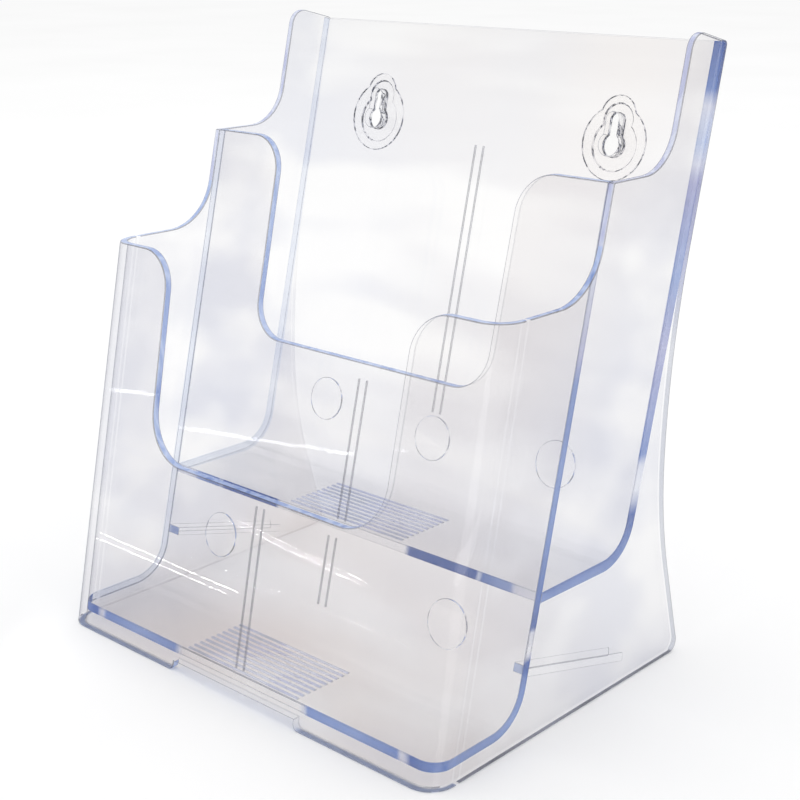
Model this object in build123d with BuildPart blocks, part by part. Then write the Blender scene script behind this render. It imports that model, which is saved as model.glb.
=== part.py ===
from build123d import *
import math
import os

# Two-tier brochure rack in clear plastic, for A4 or letter sheets, standing or hung on a wall.
# Millimetres. X runs to the right, Y from the front to the back, Z up.
# The origin is under the middle of the rack's box, on the surface that it stands on.

# Overall sizes
width = 236.0
wall = 3.0
sheet = 3.6
corner_radius = 12.5

# Lean of the panels from the vertical, in degrees
front_lean = 11.8
rear_lean = 13.4

# Where the front face of each panel would meet the table, behind the front edge of the feet
middle_foot = 51.7
back_foot = 113.2

# Heights
lower_lip = 181.4
upper_lip = 226.5
lower_floor = 10.0
upper_floor = 62.1
wall_top_along = 285.2
back_top_along = 284.2

# Side walls
seam = 15.0
lower_step_radius = 27.0
upper_step_radius = 22.0
flange_depth = 21.4
flange_corner = 8.0
rear_standoff = 1.6
rear_top_corner = 2.0
rear_base = 173.5
rear_base_corner = 5.0
waist = 153.4
waist_height = 100.0
waist_flare_height = 72.0
arc_share = 0.98

# Bends of the two sheets
bend_outer = 21.0
bend_inner = bend_outer - sheet

# Finger cut-outs
lower_cut_bottom = 89.4
lower_cut_half_top = 74.3
lower_cut_half_bottom = 72.3
lower_cut_top_radius = 17.8
lower_cut_bottom_radius = 23.0
upper_cut_bottom = 135.1
upper_cut_half_top = 71.8
upper_cut_half_bottom = 70.6
upper_cut_top_radius = 17.0
upper_cut_bottom_radius = 17.0

# Notch between the two front feet
notch_half = 39.0
notch_height = 4.4
foot_corner = 3.0

# Keyholes and the bosses around them, on the back panel
keyhole_spread = 71.0
keyhole_entry_along = 237.0
keyhole_entry_radius = 5.2
keyhole_slot_along = 248.0
keyhole_slot_radius = 3.3
boss_ring_along = 238.0
boss_ring_radius = 16.8
boss_ring_height = 0.9
boss_collar_radius = 11.4
boss_crown_along = 249.8
boss_crown_radius = 9.4
boss_crown_collar_radius = 7.6

# Round pads on the back walls
pad_radius = 10.9
pad_height = 0.8
pad_chamfer = 0.25
pad_spread = 72.8
lower_pad_along = 39.3
upper_pad_along = 93.2
centre_pad_along = 88.7

# Divider guides: a pair of thin ribs up the middle of each panel
guide_spread = 2.4
guide_width = 0.7
guide_height = 0.7

# Grip ribs in the middle of each floor
grip_half = 35.5
grip_pitch = 3.4
grip_count = 10
grip_width = 1.5
grip_height = 0.5
grip_angle = 60.0
lower_grip_middle = 23.0
upper_grip_middle = 88.8

# Sloping rails inside the side walls, behind the lower pocket
rail_front_top = 31.6
rail_thickness = 4.0
rail_rear = 132.0
rail_slope = 15.5
rail_reach = 7.5
rail_corner = 0.8

front_angle = math.radians(front_lean)
rear_angle = math.radians(rear_lean)
half = width / 2
inner_half = half - wall
front_thickness = sheet / math.cos(front_angle)
rear_thickness = sheet / math.cos(rear_angle)
rear_edge = sheet + rear_standoff
depth = (
    back_foot
    + (wall_top_along - rear_top_corner) * math.sin(rear_angle)
    + (rear_edge - rear_top_corner) * math.cos(rear_angle)
    + rear_top_corner
)
front_y = -depth / 2


def side_point(distance, height):
    """A point of the side view: its distance behind the front edge, and its height."""
    return (front_y + distance, height)


def rear_leaning(foot, height):
    """How far behind the front edge a face at the rear lean is, at a height."""
    return foot + height * math.tan(rear_angle)


def up_the_back(along, behind):
    """A point measured up the back panel's front face and square behind it."""
    distance = back_foot + along * math.sin(rear_angle) + behind * math.cos(rear_angle)
    height = along * math.cos(rear_angle) - behind * math.sin(rear_angle)
    return side_point(distance, height)


def leaning_plane(foot, angle):
    """The plane of a panel's front face: its normal points to the front, its second axis up the panel."""
    return Plane(
        origin=(0, front_y + foot, 0),
        x_dir=(1, 0, 0),
        z_dir=(0, -math.cos(angle), math.sin(angle)),
    )


front_face = leaning_plane(0, front_angle)
middle_face = leaning_plane(middle_foot, rear_angle)
back_face = leaning_plane(back_foot, rear_angle)
up_the_front = (0, math.sin(front_angle), math.cos(front_angle))


def tray_corners(side, front, rear):
    """Plan of a tray, given its half width and its front and rear edges."""
    return [
        (-side, front_y + rear),
        (-side, front_y + front),
        (side, front_y + front),
        (side, front_y + rear),
    ]


def cut_out_corners(lip, half_top, half_bottom, bottom):
    """A finger cut-out seen from the front, carried above the lip so that it opens upwards."""
    right_side = [(half_bottom, bottom), (half_top, lip), (half, lip), (half, lip + wall)]
    left_side = [(-across, height) for across, height in reversed(right_side)]
    return left_side + right_side


def cut_out_radii(top_radius, bottom_radius):
    """The corner radii that go with cut_out_corners."""
    return [0, 0, top_radius, bottom_radius, bottom_radius, top_radius, 0, 0]


def finish_part(part, name):
    """Labels a finished piece and writes it."""
    part.label = name
    export_step(part, f"parts/{name}.step")


os.makedirs("parts", exist_ok=True)

# Side walls: flat plates with a step for each tier, a flange at the top and a waisted rear edge.
flare_angle = math.atan((rear_base - waist) / waist_flare_height)
rear_edge_foot = back_foot + rear_edge / math.cos(rear_angle)
lean_height = (waist - rear_edge_foot) / math.tan(rear_angle)
flare_radius = arc_share * (waist_height - waist_flare_height) / math.tan(flare_angle / 2)
lean_radius = arc_share * (lean_height - waist_height) / math.tan(rear_angle / 2)
flange_foot = back_foot - flange_depth / math.cos(rear_angle)
wall_outline = [
    (side_point(seam, 0), 0),
    (side_point(rear_base, 0), rear_base_corner),
    (side_point(waist, waist_flare_height), flare_radius),
    (side_point(waist, lean_height), lean_radius),
    (up_the_back(wall_top_along, rear_edge), rear_top_corner),
    (up_the_back(wall_top_along, -flange_depth), flange_corner),
    (side_point(rear_leaning(flange_foot, upper_lip), upper_lip), upper_step_radius),
    (side_point(rear_leaning(middle_foot, upper_lip), upper_lip), 0),
    (side_point(rear_leaning(middle_foot, lower_lip), lower_lip), lower_step_radius),
    (side_point(seam + lower_lip * math.tan(front_angle), lower_lip), 0),
]
for name, inner_x in (("left_side_wall", -half), ("right_side_wall", inner_half)):
    with BuildPart() as side_wall:
        with BuildSketch(Plane.YZ.offset(inner_x)):
            with BuildLine():
                FilletPolyline(
                    *[point for point, radius in wall_outline],
                    radius=[radius for point, radius in wall_outline],
                    close=True,
                )
            make_face()
        extrude(amount=wall)
    finish_part(side_wall.part, name)

# Lower front panel: it turns back round both corners to meet the side walls, with a finger
# cut-out at the top and a notch at the bottom that leaves two feet.
inner_corner = corner_radius - wall
front_length = lower_lip / math.cos(front_angle)
notch_side = [(notch_half, notch_height), (notch_half, 0), (half, 0), (half, -notch_height)]
notch_corners = [(-across, height) for across, height in reversed(notch_side)] + notch_side
with BuildPart() as lower_front_panel:
    with BuildSketch(Plane.XY):
        with BuildLine():
            FilletPolyline(
                *tray_corners(half, 0, seam),
                radius=[0, corner_radius, corner_radius, 0],
                close=True,
            )
        make_face()
    extrude(amount=front_length, dir=up_the_front)
    with BuildSketch(Plane.XY):
        with BuildLine():
            FilletPolyline(
                *tray_corners(inner_half, front_thickness, seam),
                radius=[0, inner_corner, inner_corner, 0],
                close=True,
            )
        make_face()
    extrude(amount=front_length, dir=up_the_front, mode=Mode.SUBTRACT)
    with BuildSketch(Plane.XZ):
        with BuildLine():
            FilletPolyline(
                *cut_out_corners(lower_lip, lower_cut_half_top, lower_cut_half_bottom, lower_cut_bottom),
                radius=cut_out_radii(lower_cut_top_radius, lower_cut_bottom_radius),
                close=True,
            )
        make_face()
        with BuildLine():
            FilletPolyline(
                *notch_corners,
                radius=[0, 0, foot_corner, 0, 0, foot_corner, 0, 0],
                close=True,
            )
        make_face()
    extrude(amount=depth, both=True, mode=Mode.SUBTRACT)
finish_part(lower_front_panel.part, "lower_front_panel")

# Middle panel: one bent sheet that is the lower floor, the lower pocket's back wall and the
# upper pocket's front, with a finger cut-out at its top.
floor_bottom = lower_floor - sheet
middle_rear_foot = middle_foot + rear_thickness
middle_outline = [
    (side_point(0, floor_bottom), 0),
    (side_point(rear_leaning(middle_rear_foot, floor_bottom), floor_bottom), bend_outer),
    (side_point(rear_leaning(middle_rear_foot, upper_lip), upper_lip), 0),
    (side_point(rear_leaning(middle_foot, upper_lip), upper_lip), 0),
    (side_point(rear_leaning(middle_foot, lower_floor), lower_floor), bend_inner),
    (side_point(0, lower_floor), 0),
]
with BuildPart() as middle_panel:
    with BuildSketch(Plane.YZ):
        with BuildLine():
            FilletPolyline(
                *[point for point, radius in middle_outline],
                radius=[radius for point, radius in middle_outline],
                close=True,
            )
        make_face()
    extrude(amount=inner_half, both=True)
    with BuildSketch(Plane.XY):
        with BuildLine():
            FilletPolyline(
                *tray_corners(inner_half, front_thickness, depth),
                radius=[0, inner_corner, inner_corner, 0],
                close=True,
            )
        make_face()
    extrude(amount=depth * 2, dir=up_the_front, mode=Mode.INTERSECT)
    with BuildSketch(Plane.XZ):
        with BuildLine():
            FilletPolyline(
                *cut_out_corners(upper_lip, upper_cut_half_top, upper_cut_half_bottom, upper_cut_bottom),
                radius=cut_out_radii(upper_cut_top_radius, upper_cut_bottom_radius),
                close=True,
            )
        make_face()
    extrude(amount=depth, both=True, mode=Mode.SUBTRACT)
finish_part(middle_panel.part, "middle_panel")


def keyhole_outline():
    """Both keyholes, drawn on the back panel: a round entry with a narrower slot above it."""
    slot_length = keyhole_slot_along - keyhole_entry_along
    with Locations((-keyhole_spread, keyhole_entry_along), (keyhole_spread, keyhole_entry_along)):
        Circle(keyhole_entry_radius)
        with Locations((0, slot_length / 2)):
            Rectangle(2 * keyhole_slot_radius, slot_length)
        with Locations((0, slot_length)):
            Circle(keyhole_slot_radius)


# Back panel: one bent sheet that is the upper floor and the tall back, with two keyholes.
upper_floor_bottom = upper_floor - sheet
back_rear_foot = back_foot + rear_thickness
back_outline = [
    (side_point(rear_leaning(middle_rear_foot, upper_floor_bottom), upper_floor_bottom), 0),
    (side_point(rear_leaning(back_rear_foot, upper_floor_bottom), upper_floor_bottom), bend_outer),
    (up_the_back(back_top_along, sheet), 0),
    (up_the_back(back_top_along, 0), 0),
    (side_point(rear_leaning(back_foot, upper_floor), upper_floor), bend_inner),
    (side_point(rear_leaning(middle_rear_foot, upper_floor), upper_floor), 0),
]
with BuildPart() as back_panel:
    with BuildSketch(Plane.YZ):
        with BuildLine():
            FilletPolyline(
                *[point for point, radius in back_outline],
                radius=[radius for point, radius in back_outline],
                close=True,
            )
        make_face()
    extrude(amount=inner_half, both=True)
    with BuildSketch(back_face):
        keyhole_outline()
    extrude(amount=2 * sheet, both=True, mode=Mode.SUBTRACT)
finish_part(back_panel.part, "back_panel")

# Keyhole bosses: a low ring with a taller collar round the opening, on the rear of the back panel.
boss_face = back_face.offset(-sheet)
for name, side in (("left_keyhole_boss", -1), ("right_keyhole_boss", 1)):
    boss_x = side * keyhole_spread
    with BuildPart() as boss:
        with BuildSketch(boss_face):
            with Locations((boss_x, boss_ring_along)):
                Circle(boss_ring_radius)
            with Locations((boss_x, boss_crown_along)):
                Circle(boss_crown_radius)
        extrude(amount=-boss_ring_height)
        with BuildSketch(boss_face):
            with Locations((boss_x, keyhole_entry_along)):
                Circle(boss_collar_radius)
            with Locations((boss_x, keyhole_slot_along)):
                Circle(boss_crown_collar_radius)
        extrude(amount=-rear_standoff)
        with BuildSketch(boss_face):
            keyhole_outline()
        extrude(amount=2 * rear_standoff, both=True, mode=Mode.SUBTRACT)
    finish_part(boss.part, name)

# Round pads: low discs on the front of the two back walls.
pads = [
    ("lower_left_pad", middle_face, -pad_spread, lower_pad_along),
    ("lower_right_pad", middle_face, pad_spread, lower_pad_along),
    ("upper_left_pad", back_face, -pad_spread, upper_pad_along),
    ("upper_right_pad", back_face, pad_spread, upper_pad_along),
    ("upper_centre_pad", back_face, 0, centre_pad_along),
]
for name, face, pad_x, along in pads:
    with BuildPart() as pad:
        with BuildSketch(face):
            with Locations((pad_x, along)):
                Circle(pad_radius)
        extrude(amount=pad_height)
        rim = pad.faces().filter_by(GeomType.PLANE).sort_by(Axis.Y)[0].edges()
        chamfer(rim, length=pad_chamfer)
    finish_part(pad.part, name)

# Divider guides: where each pair stands, which way it stands out, and how far up it runs.
guides = [
    ("lower_front_guides", front_face.offset(-sheet), -guide_height, 13.0, 86.0),
    ("lower_back_guides", middle_face, guide_height, 25.5, 58.0),
    ("upper_front_guides", middle_face.offset(-sheet), -guide_height, 65.5, 131.0),
    ("upper_back_guides", back_face, guide_height, 101.0, 229.5),
]
for name, face, height, low, high in guides:
    with BuildPart() as guide_pair:
        with BuildSketch(face):
            with Locations((-guide_spread, (low + high) / 2), (guide_spread, (low + high) / 2)):
                Rectangle(guide_width, high - low)
        extrude(amount=height)
    finish_part(guide_pair.part, name)

# Grip ribs: low ribs across the middle of each floor, so that the last sheet doesn't slide.
grips = [
    ("lower_grip_ribs", lower_grip_middle, lower_floor),
    ("upper_grip_ribs", upper_grip_middle, upper_floor),
]
for name, middle, floor_height in grips:
    with BuildPart() as grip_ribs:
        with BuildSketch(Plane.YZ):
            with Locations(side_point(middle, floor_height)):
                with GridLocations(grip_pitch, 0, grip_count, 1):
                    Trapezoid(grip_width, grip_height, grip_angle, align=(Align.CENTER, Align.MIN))
        extrude(amount=grip_half, both=True)
    finish_part(grip_ribs.part, name)

# Side rails: they slope down to the rear from the middle panel, along each wall's inner face.
rail_front_bottom = rail_front_top - rail_thickness
rail_front_top_y = rear_leaning(middle_rear_foot, rail_front_top)
rail_front_bottom_y = rear_leaning(middle_rear_foot, rail_front_bottom)
rail_fall = math.tan(math.radians(rail_slope))
rail_outline = [
    (side_point(rail_front_bottom_y, rail_front_bottom), 0),
    (
        side_point(rail_rear, rail_front_bottom - rail_fall * (rail_rear - rail_front_bottom_y)),
        rail_corner,
    ),
    (
        side_point(rail_rear, rail_front_top - rail_fall * (rail_rear - rail_front_top_y)),
        rail_corner,
    ),
    (side_point(rail_front_top_y, rail_front_top), 0),
]
for name, wall_x, reach in (
    ("left_side_rail", -inner_half, rail_reach),
    ("right_side_rail", inner_half, -rail_reach),
):
    with BuildPart() as side_rail:
        with BuildSketch(Plane.YZ.offset(wall_x)):
            with BuildLine():
                FilletPolyline(
                    *[point for point, radius in rail_outline],
                    radius=[radius for point, radius in rail_outline],
                    close=True,
                )
            make_face()
        extrude(amount=reach)
    finish_part(side_rail.part, name)
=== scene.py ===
import math

import bmesh
import bpy
from mathutils import Matrix, Vector


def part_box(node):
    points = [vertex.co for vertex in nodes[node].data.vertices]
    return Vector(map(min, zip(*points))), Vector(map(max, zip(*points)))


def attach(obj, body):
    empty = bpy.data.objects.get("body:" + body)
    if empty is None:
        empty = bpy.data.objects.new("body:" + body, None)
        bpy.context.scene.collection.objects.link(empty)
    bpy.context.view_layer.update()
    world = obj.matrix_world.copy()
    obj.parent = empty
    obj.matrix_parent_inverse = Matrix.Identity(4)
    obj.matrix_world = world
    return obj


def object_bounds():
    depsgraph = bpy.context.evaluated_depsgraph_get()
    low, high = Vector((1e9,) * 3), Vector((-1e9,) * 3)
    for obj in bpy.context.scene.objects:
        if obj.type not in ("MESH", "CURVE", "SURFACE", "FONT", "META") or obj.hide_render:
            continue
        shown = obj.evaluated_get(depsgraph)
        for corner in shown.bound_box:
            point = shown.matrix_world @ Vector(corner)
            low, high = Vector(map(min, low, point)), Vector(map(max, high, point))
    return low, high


MM = 0.001

# Leans of the panels, as the CAD has them
FRONT_LEAN = math.radians(11.8)
REAR_LEAN = math.radians(13.4)

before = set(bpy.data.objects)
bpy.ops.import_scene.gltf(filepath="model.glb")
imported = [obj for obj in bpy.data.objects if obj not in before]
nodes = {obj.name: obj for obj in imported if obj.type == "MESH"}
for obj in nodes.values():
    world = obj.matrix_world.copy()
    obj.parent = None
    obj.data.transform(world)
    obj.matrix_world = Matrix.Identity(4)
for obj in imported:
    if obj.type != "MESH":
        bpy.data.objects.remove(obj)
cad_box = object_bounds()
FRONT_EDGE = cad_box[0][1]
HALF_WIDTH = cad_box[1][0]
HEIGHT = cad_box[1][2]
INNER_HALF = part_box("middle_panel")[1][0]
LOWER_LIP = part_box("lower_front_panel")[1][2]
LIP_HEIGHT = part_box("middle_panel")[1][2]
BACK_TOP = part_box("back_panel")[1][2]
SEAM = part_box("left_side_wall")[0][1] - FRONT_EDGE
REAR_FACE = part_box("back_panel")[1][1] - BACK_TOP * math.tan(REAR_LEAN)
REACH = {"X": HALF_WIDTH, "Z": HEIGHT}

# Places that tell the faces of a node apart
OVER_LOWER_FLOOR = 12 * MM
OVER_UPPER_FLOOR = 64 * MM
UNDER_UPPER_CUT_OUT = 130 * MM
UNDER_KEYHOLES = 200 * MM
RETURN_START = 110 * MM  # how far from the middle the front panel's returns are
STEP = 20 * MM  # a face further than this from an edge isn't part of it
NEAR = 1 * MM  # a face nearer than this to a plane lies in it
ALONG = 0.9  # a face whose normal has more than this along an axis faces that way

# Widths of the rounded arrises
SHEET_ARRIS = 0.45 * MM
BOSS_ARRIS = 0.65 * MM
RAIL_ARRIS = 0.22 * MM


# ---------------------------------------------------------------- node helpers


def new_material(name):
    """An empty node material and its node tree."""
    material = bpy.data.materials.new(name)
    material.use_nodes = True
    tree = material.node_tree
    tree.nodes.clear()
    return material, tree


def add(tree, kind, **settings):
    """A shader node with some of its properties set."""
    node = tree.nodes.new(kind)
    for key, value in settings.items():
        setattr(node, key, value)
    return node


def link(tree, output, target):
    tree.links.new(output, target)


def finish_surface(tree, shader):
    """Makes a shader the material's surface."""
    out = add(tree, "ShaderNodeOutputMaterial")
    link(tree, shader, out.inputs["Surface"])


def math_node(tree, operation, first, second=0.0):
    """A math node on two values or sockets. Gives its output."""
    node = add(tree, "ShaderNodeMath", operation=operation)
    for socket, value in zip(node.inputs, (first, second)):
        if isinstance(value, (int, float)):
            socket.default_value = value
        else:
            link(tree, value, socket)
    return node.outputs[0]


def place(tree, scale=(1, 1, 1)):
    """The point's place in the row frame, stretched."""
    coordinates = add(tree, "ShaderNodeTexCoord")
    mapping = add(tree, "ShaderNodeMapping")
    mapping.inputs["Scale"].default_value = scale
    link(tree, coordinates.outputs["Object"], mapping.inputs["Vector"])
    return mapping.outputs["Vector"]


def noise(tree, scale, detail=2.0, stretch=(1, 1, 1), distortion=0.0):
    """A noise fixed to the row frame, from 0 to 1."""
    node = add(tree, "ShaderNodeTexNoise")
    node.inputs["Scale"].default_value = scale
    node.inputs["Detail"].default_value = detail
    node.inputs["Distortion"].default_value = distortion
    link(tree, place(tree, stretch), node.inputs["Vector"])
    return node.outputs["Fac"]


def ramp(tree, factor, stops):
    """A colour ramp from (position, colour) stops."""
    node = add(tree, "ShaderNodeValToRGB")
    elements = node.color_ramp.elements
    while len(elements) < len(stops):
        elements.new(0.5)
    for element, (position, colour) in zip(elements, stops):
        element.position = position
        element.color = (*colour, 1)
    link(tree, factor, node.inputs["Fac"])
    return node.outputs["Color"]


def grey_ramp(tree, factor, low, high, dark, light):
    """A factor between low and high, turned into a value between dark and light."""
    node = add(tree, "ShaderNodeMapRange", interpolation_type="SMOOTHSTEP")
    node.inputs["From Min"].default_value = low
    node.inputs["From Max"].default_value = high
    node.inputs["To Min"].default_value = dark
    node.inputs["To Max"].default_value = light
    link(tree, factor, node.inputs["Value"])
    return node.outputs["Result"]


def add_scaled(tree, value, scale, offset):
    """value times scale plus offset."""
    node = add(tree, "ShaderNodeMath", operation="MULTIPLY_ADD")
    link(tree, value, node.inputs[0])
    node.inputs[1].default_value = scale
    node.inputs[2].default_value = offset
    return node.outputs[0]


def grazing(tree, power):
    """0 where a face is seen square on, rising to 1 where it is seen edge on, from either side."""
    weight = add(tree, "ShaderNodeLayerWeight")
    weight.inputs["Blend"].default_value = 0.5
    return math_node(tree, "POWER", weight.outputs["Facing"], power)


def blend_colours(tree, factor, first, second):
    """A mix of two colours or colour sockets."""
    node = add(tree, "ShaderNodeMix", data_type="RGBA")
    link(tree, factor, node.inputs["Factor"])
    for socket, value in ((node.inputs[6], first), (node.inputs[7], second)):
        if isinstance(value, tuple):
            socket.default_value = (*value, 1)
        else:
            link(tree, value, socket)
    return node.outputs[2]


def blend_shaders(tree, factor, first, second):
    """A mix of two shaders, by a number or a socket."""
    node = add(tree, "ShaderNodeMixShader")
    if isinstance(factor, (int, float)):
        node.inputs["Fac"].default_value = factor
    else:
        link(tree, factor, node.inputs["Fac"])
    link(tree, first, node.inputs[1])
    link(tree, second, node.inputs[2])
    return node.outputs[0]


def surface_bump(tree, scale, strength, distance):
    """Faint waves in the surface."""
    bump = add(tree, "ShaderNodeBump")
    bump.inputs["Strength"].default_value = strength
    bump.inputs["Distance"].default_value = distance
    link(tree, noise(tree, scale, 3.0), bump.inputs["Height"])
    return bump.outputs["Normal"]


# ---------------------------------------------------------------- materials

PLASTIC_IOR = 1.49
MIRROR = 0.02  # share of the light that a clear face mirrors, square on
RIM = 0.08  # and how much more of it at a grazing angle
HAZE = (0.004, 0.0176)  # least and most share of light that the surface scatters
# GRAZING_SHADE and GRAZING_SHADE_COLOUR paint shade into the clear faces' tint where they are seen edge on
GRAZING_SHADE = 0.95  # how far the tint goes to GRAZING_SHADE_COLOUR at a grazing angle
GRAZING_SHADE_COLOUR = (0.30, 0.31, 0.38)
STREAK_TINT = (0.995, 0.993, 0.99)
WANDER = 2 * MM  # how far the ends of the bands wander


def see_through(tree, tint=(1, 1, 1)):
    """A shader that lets light straight through."""
    through = add(tree, "ShaderNodeBsdfTransparent")
    through.inputs["Color"].default_value = (*tint, 1)
    return through


def plastic(tree, rough):
    """A shader for plastic whose far side isn't seen."""
    body = add(tree, "ShaderNodeBsdfPrincipled")
    body.inputs["Roughness"].default_value = rough
    body.inputs["IOR"].default_value = PLASTIC_IOR
    return body


def clear_face(name, tints):
    """A polished face of the clear sheet. Light goes straight through with a faint tint, which drifts from
    cool to warm over the face. Where the face turns away, the tint is darkened towards a grey: painted shade
    in place of the refraction and the dark surroundings mirrored there, on top of the longer path through
    the sheet. It mirrors a little."""
    material, tree = new_material(name)
    drift = noise(tree, 5.0, 1.0, (1, 1, 0.6))
    tint = ramp(tree, drift, [(0.36, tints[0]), (0.5, tints[1]), (0.64, tints[2])])
    streaks = grey_ramp(tree, noise(tree, 22.0, 2.0, (0.3, 1, 1.2)), 0.42, 0.66, 0.0, 0.85)
    tint = blend_colours(tree, streaks, tint, STREAK_TINT)
    through = see_through(tree)
    # painted shade: the tint darkens towards GRAZING_SHADE_COLOUR where the face is seen edge on
    turned = add_scaled(tree, grazing(tree, 5.0), GRAZING_SHADE, 0.0)
    link(tree, blend_colours(tree, turned, tint, GRAZING_SHADE_COLOUR), through.inputs["Color"])

    scratches = noise(tree, 420.0, 4.0, (1, 1, 0.04))
    waves = surface_bump(tree, 22.0, 0.12, 0.0006)
    body = add(tree, "ShaderNodeBsdfPrincipled")
    body.inputs["Base Color"].default_value = (0.86, 0.88, 0.94, 1)
    body.inputs["IOR"].default_value = PLASTIC_IOR
    link(tree, grey_ramp(tree, scratches, 0.45, 0.75, 0.03, 0.12), body.inputs["Roughness"])
    link(tree, waves, body.inputs["Normal"])
    shine = add(tree, "ShaderNodeBsdfAnisotropic")
    shine.inputs["Color"].default_value = (1, 1, 1, 1)
    link(tree, grey_ramp(tree, scratches, 0.5, 0.75, 0.003, 0.02), shine.inputs["Roughness"])
    link(tree, waves, shine.inputs["Normal"])

    smudge = noise(tree, 38.0, 5.0, (1, 1, 0.5))
    hazy = grey_ramp(tree, smudge, 0.4, 0.8, *HAZE)
    clear = blend_shaders(tree, hazy, through.outputs[0], body.outputs[0])
    mirrored = add_scaled(tree, grazing(tree, 4.0), RIM, MIRROR)
    finish_surface(tree, blend_shaders(tree, mirrored, clear, shine.outputs[0]))
    return material


def seen_from_inside(tree):
    """1 where a face is seen from inside the plastic, where it mirrors all light, and 0 from outside."""
    glass = add(tree, "ShaderNodeFresnel")
    glass.inputs["IOR"].default_value = 4.0
    return math_node(tree, "GREATER_THAN", glass.outputs[0], 0.98)


def axes(tree):
    """The point's place in the row frame, as three values."""
    split = add(tree, "ShaderNodeSeparateXYZ")
    link(tree, place(tree), split.inputs[0])
    return split.outputs


def within(tree, value, middle, reach):
    """1 where a value is no further than reach from middle."""
    node = add(tree, "ShaderNodeMath", operation="COMPARE")
    link(tree, value, node.inputs[0])
    node.inputs[1].default_value = middle
    node.inputs[2].default_value = reach
    return node.outputs[0]


def hidden_arris(tree):
    """How far an arris is hidden, from 0 to 1. It is hidden at the seams between the walls and the front
    panel's returns, where the moulding has none, and where total reflection hides it: at the walls' inner
    rear edges and feet and at the left wall's outer ones. The rest is faint from inside the plastic."""
    spot = axes(tree)
    inside = seen_from_inside(tree)
    aside = math_node(tree, "ABSOLUTE", spot["X"])
    leaning = add_scaled(tree, spot["Z"], -math.tan(FRONT_LEAN), -FRONT_EDGE)
    seam = within(tree, math_node(tree, "ADD", spot["Y"], leaning), SEAM, 1.2 * MM)
    behind = math_node(tree, "ADD", spot["Y"], add_scaled(tree, spot["Z"], -math.tan(REAR_LEAN), 0.0))
    rear = math_node(tree, "GREATER_THAN", behind, REAR_FACE + 0.9 * MM)
    low = math_node(tree, "LESS_THAN", spot["Z"], NEAR)
    inside_wall = within(tree, aside, INNER_HALF, NEAR)
    inner = math_node(tree, "MULTIPLY", inside_wall, math_node(tree, "MAXIMUM", rear, low))
    left = within(tree, spot["X"], -HALF_WIDTH, NEAR)
    outer = math_node(tree, "MULTIPLY", left, math_node(tree, "MAXIMUM", inside, low))
    between = math_node(tree, "MULTIPLY", within(tree, aside, 0.0, INNER_HALF - 3 * MM), inside)
    hidden = math_node(tree, "MAXIMUM", seam, add_scaled(tree, between, 0.65, 0.0))
    return math_node(tree, "MAXIMUM", hidden, math_node(tree, "MAXIMUM", inner, outer))


def edge_face(name, colours, solid, see=(0.78, 0.84, 0.97), both_sides=False):
    """A cut edge or a joint. From outside, the eye looks along the inside of the sheet there, so it shows
    the sheet's blue. From inside, the edge mirrors all but the squarest light, so it stays clear.
    colours takes the node tree and gives a colour socket, and solid is a number or does the same. see is
    the tint of what shows through."""
    material, tree = new_material(name)
    through = see_through(tree, see)
    body = plastic(tree, 0.2)
    link(tree, colours(tree), body.inputs["Base Color"])
    link(tree, surface_bump(tree, 160.0, 0.25, 0.0003), body.inputs["Normal"])
    if callable(solid):
        solid = solid(tree)
        link(tree, blend_colours(tree, solid, (1.0, 1.0, 1.0), see), through.inputs["Color"])
    surface = blend_shaders(tree, solid, through.outputs[0], body.outputs[0])
    if not both_sides:
        surface = blend_shaders(tree, seen_from_inside(tree), surface, see_through(tree).outputs[0])
    finish_surface(tree, surface)
    return material


def streaky(stops, scale, stretch=(1, 1, 1)):
    """Colours that drift with a noise."""
    return lambda tree: ramp(tree, noise(tree, scale, 2.0, stretch), stops)


def line_face(name, colours, flat, turned, hidden=None):
    """A thin rounded arris. It bends the view away from what is behind it, and a dark solid colour is
    painted in for that as painted shade, so it shows as a line that is darkest where it turns away from the
    eye. flat is how solid it is square on, and turned how much more so at a grazing angle. hidden takes the
    node tree and gives how far each point is hidden."""
    material, tree = new_material(name)
    body = plastic(tree, 0.1)
    link(tree, colours(tree), body.inputs["Base Color"])
    thick = add_scaled(tree, grazing(tree, 1.5), turned, flat)
    if hidden:
        thick = math_node(tree, "MULTIPLY", thick, add_scaled(tree, hidden(tree), -1.0, 1.0))
    finish_surface(tree, blend_shaders(tree, thick, see_through(tree).outputs[0], body.outputs[0]))
    return material


def along_axis(tree, axis):
    """How far a point is along an axis from the middle or the foot, as a share of the rack's half width or
    height. It wanders a little, so that bands don't end on a ruled line."""
    away = math_node(tree, "ABSOLUTE", axes(tree)[axis])
    drift = add_scaled(tree, noise(tree, 90.0, 2.0), 2 * WANDER, -WANDER)
    return add_scaled(tree, math_node(tree, "ADD", away, drift), 1 / REACH[axis], 0.0)


def bands(axis, stops):
    """Colours that change in bands along an axis. stops are (place in millimetres, colour or grey)."""
    shares = [
        (spot * MM / REACH[axis], value if isinstance(value, tuple) else (value, value, value))
        for spot, value in stops
    ]
    return lambda tree: ramp(tree, along_axis(tree, axis), shares)


def sparkle_face(name, low, high, scale):
    """The moulded side of a keyhole or boss: between low and high solid, with small dark and bright glints
    painted into its colour: painted shade specks and painted highlights that stand in for the refraction
    there."""
    material, tree = new_material(name)
    glints = noise(tree, scale, 3.0, (1, 1, 0.6), 1.2)
    body = plastic(tree, 0.08)
    # painted highlights in white and painted shade specks in near black, placed by the noise
    stops = [(0.40, WHITE), (0.48, STEEL), (0.53, SHADE_SPECK_BLACK), (0.57, STEEL), (0.62, WHITE)]
    link(tree, ramp(tree, glints, stops), body.inputs["Base Color"])
    link(tree, surface_bump(tree, 500.0, 0.6, 0.0004), body.inputs["Normal"])
    thick = grey_ramp(tree, glints, 0.42, 0.55, low, high)
    finish_surface(tree, blend_shaders(tree, thick, see_through(tree).outputs[0], body.outputs[0]))
    return material


def joined_face(name):
    """A face that is fused to its neighbour, so that nothing of it shows."""
    material, tree = new_material(name)
    finish_surface(tree, see_through(tree).outputs[0])
    return material


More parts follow.
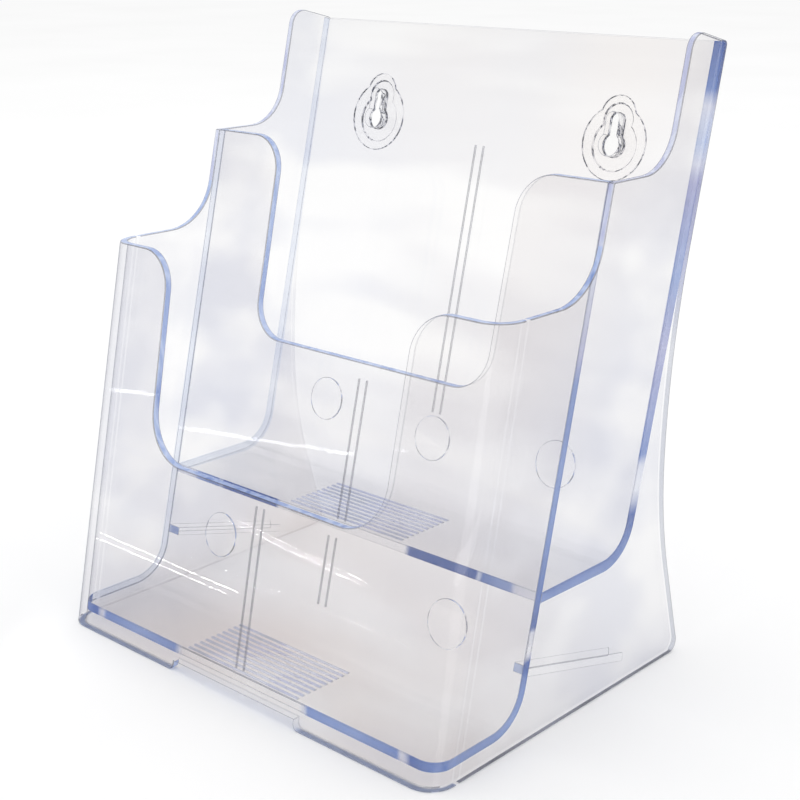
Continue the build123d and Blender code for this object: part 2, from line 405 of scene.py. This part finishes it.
COOL = (0.925, 0.928, 0.948)
NEUTRAL = (0.942, 0.938, 0.944)
WARM = (0.965, 0.950, 0.942)
DEEP_BLUE = (0.06, 0.13, 0.42)
BLUE = (0.13, 0.23, 0.56)
MID_BLUE = (0.22, 0.33, 0.66)
PALE_BLUE = (0.46, 0.56, 0.82)
LAVENDER = (0.40, 0.41, 0.66)
PEARL = (0.72, 0.74, 0.86)
WHITE = (0.95, 0.95, 0.97)
# near black of the painted shade specks on the keyhole and boss sides
SHADE_SPECK_BLACK = (0.012, 0.012, 0.018)
SLATE = (0.06, 0.07, 0.11)
STEEL = (0.20, 0.22, 0.30)

DETAIL_TINTS = ((0.985, 0.985, 0.99), (0.99, 0.99, 0.99), (0.99, 0.985, 0.98))
CUT_BLUES = [(0.36, BLUE), (0.48, PALE_BLUE), (0.6, MID_BLUE)]
PALE_BLUES = [(0.4, LAVENDER), (0.5, PEARL), (0.6, LAVENDER)]
INSIDE_BLUES = [(0.35, PEARL), (0.5, WHITE), (0.62, PALE_BLUE)]
# pad sides: painted shade in slate and painted white highlights (glints) among the blues
PAD_BLUES_AND_GLINTS = [(0.38, SLATE), (0.47, MID_BLUE), (0.54, WHITE), (0.6, STEEL)]
INSIDE_TINT = (0.89, 0.925, 0.985)

sheet_clear = clear_face("clear sheet", (COOL, NEUTRAL, WARM))
detail_clear = clear_face("clear detail", DETAIL_TINTS)
fused = joined_face("fused joint")
cut_edge = edge_face("blue cut edge", streaky(CUT_BLUES, 110.0, (1, 1, 0.2)), 0.7)
pale_edge = edge_face("pale cut edge", streaky(PALE_BLUES, 160.0, (1, 1, 0.12)), 0.55)
# the arris and rib side lines are dark colours painted in as shade where the edges bend the view
arris = line_face("arris", streaky([(0.35, SLATE), (0.65, STEEL)], 25.0), 0.55, 0.45, hidden_arris)
inside_joint = edge_face("joint from inside", streaky(INSIDE_BLUES, 35.0), 0.12, INSIDE_TINT)
rib_side = line_face("rib side", streaky([(0.3, SLATE), (0.7, STEEL)], 60.0), 0.45, 0.4)
grip_side = edge_face("grip side", streaky([(0.35, STEEL), (0.5, LAVENDER), (0.62, PEARL)], 45.0), 0.38)
# keyhole and boss sides carry painted highlights and painted shade specks
keyhole_side = sparkle_face("keyhole side", 0.25, 0.98, 330.0)
boss_side = sparkle_face("boss side", 0.55, 0.98, 200.0)
pad_side = line_face("pad side", streaky(PAD_BLUES_AND_GLINTS, 120.0), 0.6, 0.35)

# Where the joints and the walls' rear edges change colour, and how solid they look there, in millimetres
MIDDLE_BANDS = [
    (0, BLUE), (12, MID_BLUE), (26, BLUE), (34, DEEP_BLUE), (38, WHITE), (47, PEARL), (49, DEEP_BLUE),
    (60, BLUE), (110, MID_BLUE), (148, MID_BLUE), (158, LAVENDER), (190, PEARL), (215, LAVENDER),
]
MIDDLE_SOLID = [
    (0, 0.85), (34, 0.9), (38, 0.25), (46, 0.35), (49, 0.9), (62, 0.88), (148, 0.85), (158, 0.6),
    (225, 0.55),
]
BACK_BANDS = [
    (58, MID_BLUE), (62, BLUE), (78, DEEP_BLUE), (90, WHITE), (99, PEARL), (104, BLUE), (150, LAVENDER),
    (180, MID_BLUE), (218, LAVENDER), (226, PEARL), (236, PALE_BLUE), (250, PEARL), (257, BLUE),
    (274, DEEP_BLUE),
]
BACK_SOLID = [
    (58, 0.85), (80, 0.9), (90, 0.3), (99, 0.4), (104, 0.8), (180, 0.75), (222, 0.8), (240, 0.65),
    (258, 0.85),
]
SHELF_BANDS = [
    (0, PEARL), (40, PEARL), (43, DEEP_BLUE), (80, DEEP_BLUE), (82, PALE_BLUE), (84, BLUE),
    (99, MID_BLUE), (102, PEARL), (112, WHITE),
]
SHELF_SOLID = [(0, 0.03), (40, 0.04), (43, 0.96), (80, 0.96), (82, 0.5), (84, 0.92), (99, 0.85), (102, 0.4)]
REAR_BANDS = [
    (0, STEEL), (150, STEEL), (180, LAVENDER), (218, LAVENDER), (226, PEARL), (236, PALE_BLUE),
    (250, PEARL), (257, BLUE), (274, DEEP_BLUE),
]
REAR_SOLID = [(0, 0.3), (150, 0.3), (182, 0.55), (222, 0.75), (240, 0.6), (258, 0.85)]
FLOOR_BANDS = [
    (0, WHITE), (38, PEARL), (43, BLUE), (70, MID_BLUE), (94, BLUE), (97, PEARL), (101, DEEP_BLUE),
    (112, BLUE),
]
FLOOR_SOLID = [(0, 0.0), (38, 0.04), (43, 0.85), (94, 0.9), (97, 0.5), (101, 0.95)]
middle_joint = edge_face("middle joint", bands("Z", MIDDLE_BANDS), bands("Z", MIDDLE_SOLID))
back_joint = edge_face("back joint", bands("Z", BACK_BANDS), bands("Z", BACK_SOLID))
rear_edge = edge_face(
    "wall rear edge", bands("Z", REAR_BANDS), bands("Z", REAR_SOLID), both_sides=True
)
shelf_joint = edge_face("shelf joint", bands("X", SHELF_BANDS), bands("X", SHELF_SOLID))
floor_joint = edge_face("floor joint", bands("X", FLOOR_BANDS), bands("X", FLOOR_SOLID))


# ---------------------------------------------------------------- faces of the CAD nodes


def paint(node, rule, materials):
    """Gives each face of a CAD node one of the materials. rule takes a face's centre and normal."""
    mesh = nodes[node].data
    mesh.materials.clear()
    for material in materials:
        mesh.materials.append(material)
    for face in mesh.polygons:
        face.material_index = rule(face.center, face.normal)


def arrises(node, width, material_index):
    """Rounds a node's sharp edges a little. The narrow faces that this makes draw the thin lines round the
    sheets."""
    weld = nodes[node].modifiers.new("merge", "WELD")
    weld.merge_threshold = 1e-6
    flat = nodes[node].modifiers.new("flat faces", "DECIMATE")
    flat.decimate_type = "DISSOLVE"
    flat.angle_limit = math.radians(0.5)
    flat.delimit = {"MATERIAL"}
    bevel = nodes[node].modifiers.new("arris", "BEVEL")
    bevel.width = width
    bevel.segments = 2
    bevel.limit_method = "ANGLE"
    bevel.angle_limit = math.radians(35)
    bevel.material = material_index


REAR_FACING = Vector((0, -math.cos(REAR_LEAN), math.sin(REAR_LEAN)))
CLEAR, EDGE, FUSED, LINE, PALE, KEYHOLE, REAR = range(7)
SHEET_LOOKS = (sheet_clear, cut_edge, fused, arris, pale_edge, keyhole_side, rear_edge)


def wall_rule(centre, normal):
    """Side walls: broad faces are clear, and the front edge is fused to the front panel's return. The right
    wall's foot takes the dark arris colour, a painted line of shade where it stands on the floor. The left
    wall's foot and rear edge don't show."""
    if abs(normal.x) > ALONG:
        return CLEAR
    if normal.z < -ALONG:
        return LINE if centre.x > 0 else CLEAR
    seam = centre.y - FRONT_EDGE - centre.z * math.tan(FRONT_LEAN)
    if normal.y < -ALONG and seam < STEP:
        return FUSED
    if normal.y > 0.3:
        return REAR if centre.x > 0 else CLEAR
    return PALE if centre.z > LOWER_LIP + STEP else EDGE


def front_rule(centre, normal):
    """Front panel: the returns' ends are fused to the walls, and the lip, cut-out and feet are cut edges."""
    if abs(centre.x) > INNER_HALF and normal.y > ALONG:
        return FUSED
    if abs(normal.y) < 0.05 or abs(normal.z) > ALONG:
        outer_side = abs(normal.x) > ALONG and abs(centre.x) > RETURN_START
        return CLEAR if outer_side else EDGE
    return CLEAR


def middle_rule(centre, normal):
    """Middle panel: fused at the walls and to the front panel, with a cut edge round its lip."""
    if abs(normal.x) > ALONG and abs(centre.x) > INNER_HALF - NEAR:
        return FUSED
    low = centre.z < OVER_LOWER_FLOOR
    if low and abs(normal.z) < 0.5 and centre.y < FRONT_EDGE + STEP:
        return FUSED
    if centre.z > UNDER_UPPER_CUT_OUT and abs(normal.y) < 0.05:
        return EDGE
    return CLEAR


def shelf_end(centre, normal):
    """The front end of the back panel's floor, where it meets the middle panel."""
    return centre.z < OVER_UPPER_FLOOR and normal.y < -0.5


def back_rule(centre, normal):
    """Back panel: fused at the walls and to the middle panel. The keyholes' sides carry painted glints and
    painted shade specks, apart from those that face right, and the top is a pale cut edge."""
    if abs(normal.x) > ALONG and abs(centre.x) > INNER_HALF - NEAR or shelf_end(centre, normal):
        return FUSED
    if centre.z > UNDER_KEYHOLES and abs(normal.dot(REAR_FACING)) < 0.2:
        if centre.z > BACK_TOP - 10 * MM:
            return PALE
        return KEYHOLE if normal.x < 0.4 else CLEAR
    return CLEAR


SHEET_RULES = {
    "left_side_wall": wall_rule,
    "right_side_wall": wall_rule,
    "lower_front_panel": front_rule,
    "middle_panel": middle_rule,
    "back_panel": back_rule,
}
for name, rule in SHEET_RULES.items():
    paint(name, rule, SHEET_LOOKS)
    arrises(name, SHEET_ARRIS, LINE)


def raised_rule(centre, normal):
    """Small raised details on the leaning panels: the two broad faces take the first material and the sides
    the second."""
    return 0 if abs(normal.dot(REAR_FACING)) > 0.8 else 1


def rail_rule(centre, normal):
    """Side rails: only the front end is a cut edge."""
    return 1 if normal.y < -0.8 else 0


def rib_rule(centre, normal):
    """Grip ribs: the foot is fused to the floor, and only the right end is a dark line of painted shade."""
    if normal.x > ALONG:
        return 2
    return 0 if normal.z < -ALONG else 1


for name in nodes:
    if "guides" in name:
        paint(name, raised_rule, (fused, rib_side))
    elif "pad" in name:
        paint(name, raised_rule, (fused, pad_side))
    elif "boss" in name:
        paint(name, raised_rule, (detail_clear, boss_side))
        arrises(name, BOSS_ARRIS, 1)
    elif "ribs" in name:
        paint(name, rib_rule, (fused, grip_side, rib_side))
    elif "rail" in name:
        paint(name, rail_rule, (fused, cut_edge, rib_side))
        arrises(name, RAIL_ARRIS, 2)

# ---------------------------------------------------------------- joints between the sheets

STRIP_INSET = 0.04 * MM  # from the sheet's end to the strip's outer face
STRIP_THICKNESS = 0.4 * MM
FLAT_GROWTH = 0.25 * MM  # how much wider than the sheet the strips on the floors are, on each side
WALL_GROWTH = 0.3 * MM  # the same at the walls
REAR_GROWTH = 1.2 * MM  # and behind the back panel
RIGHT_SPREAD = 2.6 * MM


def joint_strip(name, node, is_end, lips, grow, outer, inner, spread=0.0):
    """The line where a sheet's end meets its neighbour: a thin closed strip over that end, wider than the
    sheet by grow, in front and behind, for the fillets. is_end picks the end's faces, and lips the free
    tips that stay where they are. outer and inner are the strip's materials, from outside and inside.
    spread is how much further the strip reaches into the neighbour at its top."""
    source = nodes[node].data
    form = bmesh.new()
    made = {}
    for face in source.polygons:
        if not is_end(face.center, face.normal):
            continue
        corners = []
        for index in face.vertices:
            spot = source.vertices[index].co
            key = tuple(round(value, 6) for value in spot)
            if key not in made:
                made[key] = form.verts.new(spot)
            corners.append(made[key])
        if len(set(corners)) == len(corners) and not form.faces.get(corners):
            form.faces.new(corners)
    form.normal_update()
    moves = {}
    for edge in form.edges:
        if not edge.is_boundary:
            continue
        face = edge.link_faces[0]
        outward = (edge.verts[1].co - edge.verts[0].co).cross(face.normal).normalized()
        middle = (edge.verts[0].co + edge.verts[1].co) / 2
        if outward.dot(middle - face.calc_center_median()) < 0:
            outward.negate()
        for vertex in edge.verts:
            moves.setdefault(vertex, []).append(outward)
    facing = {vertex: vertex.normal.copy() for vertex in form.verts}
    for vertex, ways in moves.items():
        if not lips(vertex.co):
            way = sum(ways, Vector()) / len(ways)
            vertex.co += way.normalized() * grow[way.y > 0] / max(way.length, 0.5)
    for vertex in form.verts:
        widening = spread if vertex.co.z > LIP_HEIGHT else 0.0
        vertex.co += facing[vertex] * (widening - STRIP_INSET)
    top = bmesh.ops.extrude_face_region(form, geom=form.faces[:])
    for item in top["geom"]:
        if isinstance(item, bmesh.types.BMVert):
            near = min(facing, key=lambda old: (old.co - item.co).length)
            widening = spread if item.co.z > LIP_HEIGHT else 0.0
            item.co -= facing[near] * (widening + STRIP_THICKNESS)
    bmesh.ops.recalc_face_normals(form, faces=form.faces[:])
    mesh = bpy.data.meshes.new(name)
    form.to_mesh(mesh)
    form.free()
    mesh.materials.append(outer)
    mesh.materials.append(inner)
    for face in mesh.polygons:
        face.material_index = 0 if spread or is_end(face.center, face.normal) else 1
    piece = bpy.data.objects.new(name, mesh)
    bpy.context.collection.objects.link(piece)
    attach(piece, "root")
    return piece


def floor_end(centre, normal):
    """The front end of the middle panel's floor, where it meets the front panel."""
    fused_there = middle_rule(centre, normal) == FUSED
    return fused_there and abs(normal.x) < 0.97 and centre.z < OVER_LOWER_FLOOR


for side, sign in (("left", -1), ("right", 1)):

    def wall_end(centre, normal, sign=sign):
        """The end of a panel that meets the wall on this side."""
        return normal.x * sign > ALONG and centre.x * sign > INNER_HALF - NEAR

    joint_strip(
        f"{side}_middle_joint", "middle_panel", wall_end, lambda spot: spot.z > LIP_HEIGHT - NEAR,
        (WALL_GROWTH, WALL_GROWTH), middle_joint, inside_joint,
    )
    joint_strip(
        f"{side}_back_joint", "back_panel", wall_end, lambda spot: spot.z > BACK_TOP - 4 * MM,
        (WALL_GROWTH, REAR_GROWTH), back_joint, inside_joint, RIGHT_SPREAD if sign > 0 else 0.0,
    )
for name, node, is_end, material in (
    ("shelf_joint", "back_panel", shelf_end, shelf_joint),
    ("floor_joint", "middle_panel", floor_end, floor_joint),
):
    joint_strip(
        name, node, is_end, lambda spot: False, (FLAT_GROWTH, FLAT_GROWTH), material, inside_joint
    )

for name in nodes:
    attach(nodes[name], "root")

# ---------------------------------------------------------------- stage, light and camera

floor_mesh = bpy.data.meshes.new("floor")
floor_form = bmesh.new()
bmesh.ops.create_grid(floor_form, x_segments=8, y_segments=8, size=30)
floor_form.to_mesh(floor_mesh)
floor_form.free()
floor = bpy.data.objects.new("floor", floor_mesh)
bpy.context.collection.objects.link(floor)
floor.location.z = -0.2 * MM
floor_material, tree = new_material("pale floor")
shade = add(tree, "ShaderNodeBsdfPrincipled")
shade.inputs["Roughness"].default_value = 0.9
shade.inputs["Specular IOR Level"].default_value = 0.0
pale = ramp(tree, noise(tree, 3.0), [(0.3, (0.94, 0.94, 0.94)), (0.7, (0.96, 0.96, 0.96))])
link(tree, pale, shade.inputs["Base Color"])
finish_surface(tree, shade.outputs[0])
floor_mesh.materials.append(floor_material)

world = bpy.data.worlds.new("studio")
bpy.context.scene.world = world
world.use_nodes = True
world.node_tree.nodes["Background"].inputs["Color"].default_value = (1, 1, 1, 1)
world.node_tree.nodes["Background"].inputs["Strength"].default_value = 1.0

scene = bpy.context.scene
scene.view_settings.view_transform = "Standard"
scene.cycles.transparent_max_bounces = 64
scene.cycles.max_bounces = 16

camera_data = bpy.data.cameras.new("camera")
camera_data.lens = 68.2
camera_data.sensor_width = 36
camera = bpy.data.objects.new("camera", camera_data)
bpy.context.collection.objects.link(camera)
camera.location = (453.3 * MM, -386.5 * MM + FRONT_EDGE, 325.5 * MM)
target = Vector((27.8 * MM, 80 * MM + FRONT_EDGE, 124.25 * MM))
camera.rotation_euler = (target - camera.location).to_track_quat("-Z", "Y").to_euler()
scene.camera = camera


def lamp(name, size, location, aim, power):
    """A rectangular lamp, size across and up, that points at aim."""
    data = bpy.data.lights.new(name, "AREA")
    data.shape = "RECTANGLE"
    data.size, data.size_y = size
    data.energy = power
    obj = bpy.data.objects.new(name, data)
    bpy.context.collection.objects.link(obj)
    obj.location = location
    obj.rotation_euler = (Vector(aim) - obj.location).to_track_quat("-Z", "Y").to_euler()
    return obj


lamp("overhead", (2.4, 2.4), (-0.4, 0.2, 2.6), (0, 0, 0), 8)


def mirrored_strip(name, start, end, away, width, power):
    """A strip lamp that the camera sees mirrored in the front panel. start and end say how far across and
    up the panel its picture reaches. The lamp is this far away from the panel."""
    facing = Vector((0, -math.cos(FRONT_LEAN), math.sin(FRONT_LEAN)))
    climb = Vector((0, math.sin(FRONT_LEAN), math.cos(FRONT_LEAN)))
    foot = Vector((0, FRONT_EDGE, 0))
    eye = camera.location - facing * 2 * (camera.location - foot).dot(facing)
    spots = [foot + climb * up + Vector((across, 0, 0)) for across, up in (start, end)]
    ends = [spot + (spot - eye).normalized() * away for spot in spots]
    middle = (ends[0] + ends[1]) / 2
    strip = lamp(name, ((ends[1] - ends[0]).length, width), middle, foot, power)
    toward = ((spots[0] + spots[1]) / 2 - middle).normalized()
    along = (ends[1] - ends[0]).normalized()
    along = (along - toward * along.dot(toward)).normalized()
    strip.rotation_euler = Matrix((along, (-toward).cross(along), -toward)).transposed().to_euler()
    strip.visible_camera = False
    return strip


mirrored_strip("low strip", (-100 * MM, 45 * MM), (-22 * MM, 45 * MM), 0.08, 0.25 * MM, 0.006)
mirrored_strip("high strip", (-102 * MM, 117 * MM), (26 * MM, 133 * MM), 1.5, 5 * MM, 0.035)
corner = Vector((HALF_WIDTH, FRONT_EDGE, 30 * MM))
corner_glow = lamp("corner glow", (600 * MM, 60 * MM), corner + Vector((0.35, -0.35, 0)), corner, 0.25)
corner_glow.visible_camera = False
